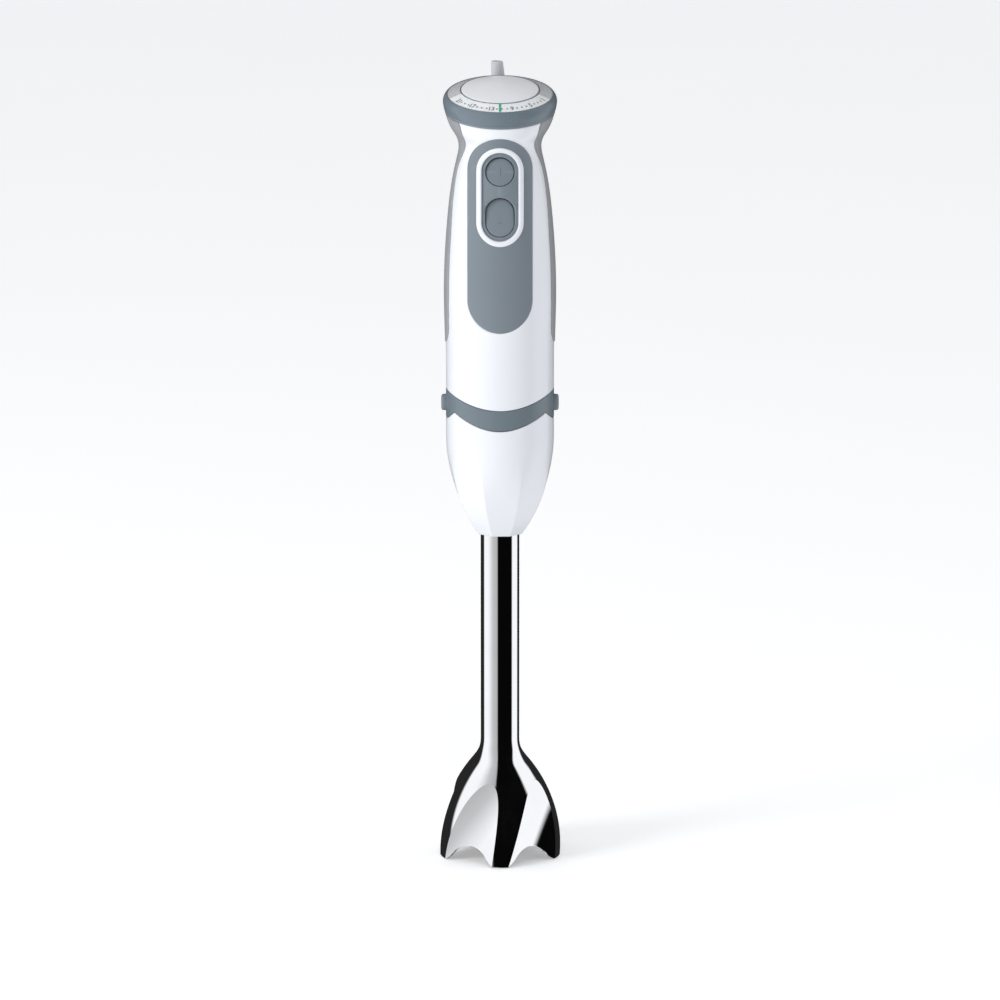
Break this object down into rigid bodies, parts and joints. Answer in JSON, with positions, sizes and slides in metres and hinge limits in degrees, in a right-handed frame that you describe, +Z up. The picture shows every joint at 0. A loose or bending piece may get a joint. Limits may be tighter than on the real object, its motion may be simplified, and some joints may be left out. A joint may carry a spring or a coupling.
{
  "type": "immersion blender",
  "caption": "Hand-held immersion blender: steel blending shaft with a bladed bell, clip-on motor handle with push buttons and a speed dial.",
  "frame": {"origin": "on the axis of the blending shaft, in the plane of the bell's feet", "axes": "+Z up along the shaft to the dial; -Y is the front, with the buttons; +X is to the right"},
  "size_m": [0.0607, 0.0682, 0.3985],
  "materials": {
    "polished_steel": "polished",
    "brushed_steel": "brushed",
    "bronze": "satin",
    "white_plastic": "satin",
    "grey_plastic": "satin",
    "dark_plastic": "matte",
    "light_grey_rubber": "matte",
    "black_rubber": "matte",
    "silver_scale": "satin",
    "clear_plastic": "polished",
    "laminated_steel": "matte",
    "copper_winding": "lacquered",
    "carbon": "matte",
    "circuit_board": "matte"
  },
  "bodies": {
    "blending_shaft": {"bell": "polished_steel", "shaft_tube": "polished_steel", "bell_hub": "dark_plastic", "lower_bush": "bronze", "shaft_seal": "black_rubber", "shaft_guide": "dark_plastic", "upper_bush": "bronze", "adaptor_shell": "white_plastic", "adaptor_neck": "dark_plastic", "neck_screws": "brushed_steel", "tube_seal": "black_rubber"},
    "drive_line": {"drive_shaft": "brushed_steel", "blade": "brushed_steel", "blade_hub": "brushed_steel", "blade_nut": "brushed_steel", "shaft_clips": "brushed_steel", "driven_coupling": "dark_plastic"},
    "motor_unit": {"coupling_band": "grey_plastic", "coupling_socket": "dark_plastic", "damping_ring": "black_rubber", "lower_bracket": "brushed_steel", "upper_bracket": "brushed_steel", "lower_bearing": "brushed_steel", "upper_bearing": "brushed_steel", "stator_core": "laminated_steel", "motor_screws": "brushed_steel", "field_coils": "copper_winding", "brush_holders": "dark_plastic", "carbon_brushes": "carbon", "brush_springs": "brushed_steel", "main_housing": "white_plastic", "rear_grip": "grey_plastic", "front_panel": "grey_plastic", "button_bezel": "white_plastic", "button_plate": "grey_plastic", "control_board": "circuit_board", "board_parts": "circuit_board", "micro_switches": "dark_plastic", "cord_clamp": "dark_plastic", "strain_relief": "light_grey_rubber", "dial_seat": "dark_plastic", "scale_disc": "silver_scale", "speed_control": "dark_plastic"},
    "rotor": {"rotor_shaft": "brushed_steel", "rotor_core": "laminated_steel", "rotor_windings": "copper_winding", "commutator": "copper_winding", "cooling_fan": "dark_plastic", "drive_coupling": "dark_plastic"},
    "speed_dial": {"dial_cap": "white_plastic", "dial_lens": "clear_plastic", "dial_grip_ring": "grey_plastic"},
    "on_button": {"on_button": "grey_plastic", "on_spring": "brushed_steel"},
    "turbo_button": {"turbo_button": "grey_plastic", "turbo_spring": "brushed_steel"},
    "release_right": {"release_button_right": "grey_plastic", "release_spring_right": "brushed_steel"},
    "release_left": {"release_button_left": "grey_plastic", "release_spring_left": "brushed_steel"}
  },
  "joints": [
    {"name": "motor_unit_lift", "type": "slide", "parent": "blending_shaft", "child": "motor_unit", "axis": [0, 0, 1], "range_m": [0, 0.08]},
    {"name": "motor_spin", "type": "hinge", "parent": "motor_unit", "child": "rotor", "pos_m": [0, 0, 0.29], "axis": [0, 0, 1], "continuous": true},
    {"name": "drive_spin", "type": "hinge", "parent": "blending_shaft", "child": "drive_line", "pos_m": [0, 0, 0.1], "axis": [0, 0, 1], "continuous": true},
    {"name": "dial_turn", "type": "hinge", "parent": "motor_unit", "child": "speed_dial", "pos_m": [0, 0, 0.3863], "axis": [0, -0.225, 0.9744], "range_deg": [-60, 64]},
    {"name": "on_button_press", "type": "slide", "parent": "motor_unit", "child": "on_button", "axis": [0, 0.9816, -0.1908], "range_m": [0, 0.002], "stiffness_N_per_m": 900, "springref_m": -0.0005, "deforming": ["on_spring"]},
    {"name": "turbo_button_press", "type": "slide", "parent": "motor_unit", "child": "turbo_button", "axis": [0, 0.9919, -0.1271], "range_m": [0, 0.002], "stiffness_N_per_m": 900, "springref_m": -0.0005, "deforming": ["turbo_spring"]},
    {"name": "right_release_press", "type": "slide", "parent": "motor_unit", "child": "release_right", "axis": [-1, 0, 0], "range_m": [0, 0.0025], "stiffness_N_per_m": 1200, "springref_m": -0.0005, "deforming": ["release_spring_right"]},
    {"name": "left_release_press", "type": "slide", "parent": "motor_unit", "child": "release_left", "axis": [1, 0, 0], "range_m": [0, 0.0025], "stiffness_N_per_m": 1200, "springref_m": -0.0005, "deforming": ["release_spring_left"]}
  ],
  "couplings": [
    {"joint": "drive_spin", "follows": "motor_spin", "ratio": 1}
  ]
}
